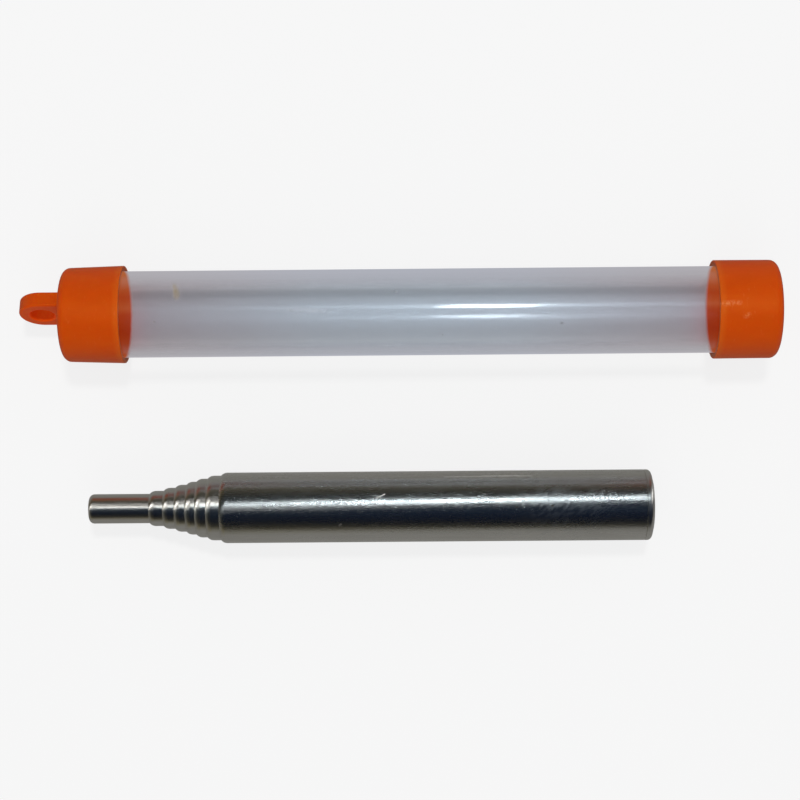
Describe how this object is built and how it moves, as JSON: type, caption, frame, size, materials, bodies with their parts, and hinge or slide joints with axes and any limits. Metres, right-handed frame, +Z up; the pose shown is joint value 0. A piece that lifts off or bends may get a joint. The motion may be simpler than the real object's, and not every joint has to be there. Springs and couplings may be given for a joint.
{
  "type": "telescopic blow pipe",
  "caption": "Telescopic steel blow pipe of nested rolled-lip tubes, collapsed, beside its clear storage tube with push-on orange caps and a hang loop.",
  "frame": {"origin": "on the bench, under the middle of the whole set's box", "axes": "+X along both tubes, from the nozzle and the hang loop towards the mouthpiece and the plain cap; +Y from the blow pipe to the storage tube; +Z up from the bench"},
  "size_m": [0.127, 0.0474, 0.0165],
  "materials": {
    "polished_steel": "polished",
    "shim_bronze": "satin",
    "clear_tube": "clear gloss",
    "orange_cap": "satin"
  },
  "bodies": {
    "pipe": {"outer_tube": "polished_steel", "mouthpiece_plug": "polished_steel"},
    "section_2": {"section_2_tube": "polished_steel", "shim_2_upper": "shim_bronze", "shim_2_lower": "shim_bronze"},
    "section_3": {"section_3_tube": "polished_steel", "shim_3_upper": "shim_bronze", "shim_3_lower": "shim_bronze"},
    "section_4": {"section_4_tube": "polished_steel", "shim_4_upper": "shim_bronze", "shim_4_lower": "shim_bronze"},
    "section_5": {"section_5_tube": "polished_steel", "shim_5_upper": "shim_bronze", "shim_5_lower": "shim_bronze"},
    "section_6": {"section_6_tube": "polished_steel", "shim_6_upper": "shim_bronze", "shim_6_lower": "shim_bronze"},
    "section_7": {"section_7_tube": "polished_steel", "shim_7_upper": "shim_bronze", "shim_7_lower": "shim_bronze"},
    "section_8_nozzle": {"section_8_nozzle_tube": "polished_steel", "shim_8_upper": "shim_bronze", "shim_8_lower": "shim_bronze"},
    "case": {"case_tube": "clear_tube"},
    "loop_cap": {"loop_cap": "orange_cap"},
    "plain_cap": {"plain_cap": "orange_cap"}
  },
  "joints": [
    {"name": "section_2_slide", "type": "slide", "parent": "pipe", "child": "section_2", "axis": [-1, 0, 0], "range_m": [0, 0.0578]},
    {"name": "section_3_slide", "type": "slide", "parent": "section_2", "child": "section_3", "axis": [-1, 0, 0], "range_m": [0, 0.0578]},
    {"name": "section_4_slide", "type": "slide", "parent": "section_3", "child": "section_4", "axis": [-1, 0, 0], "range_m": [0, 0.0578]},
    {"name": "section_5_slide", "type": "slide", "parent": "section_4", "child": "section_5", "axis": [-1, 0, 0], "range_m": [0, 0.0578]},
    {"name": "section_6_slide", "type": "slide", "parent": "section_5", "child": "section_6", "axis": [-1, 0, 0], "range_m": [0, 0.0578]},
    {"name": "section_7_slide", "type": "slide", "parent": "section_6", "child": "section_7", "axis": [-1, 0, 0], "range_m": [0, 0.0578]},
    {"name": "section_8_nozzle_slide", "type": "slide", "parent": "section_7", "child": "section_8_nozzle", "axis": [-1, 0, 0], "range_m": [0, 0.0578]},
    {"name": "case_set_aside", "type": "slide", "parent": "pipe", "child": "case", "axis": [0, 1, 0], "range_m": [0, 0.04]},
    {"name": "loop_cap_pull", "type": "slide", "parent": "case", "child": "loop_cap", "axis": [-1, 0, 0], "range_m": [0, 0.02]},
    {"name": "plain_cap_pull", "type": "slide", "parent": "case", "child": "plain_cap", "axis": [1, 0, 0], "range_m": [0, 0.02]}
  ]
}
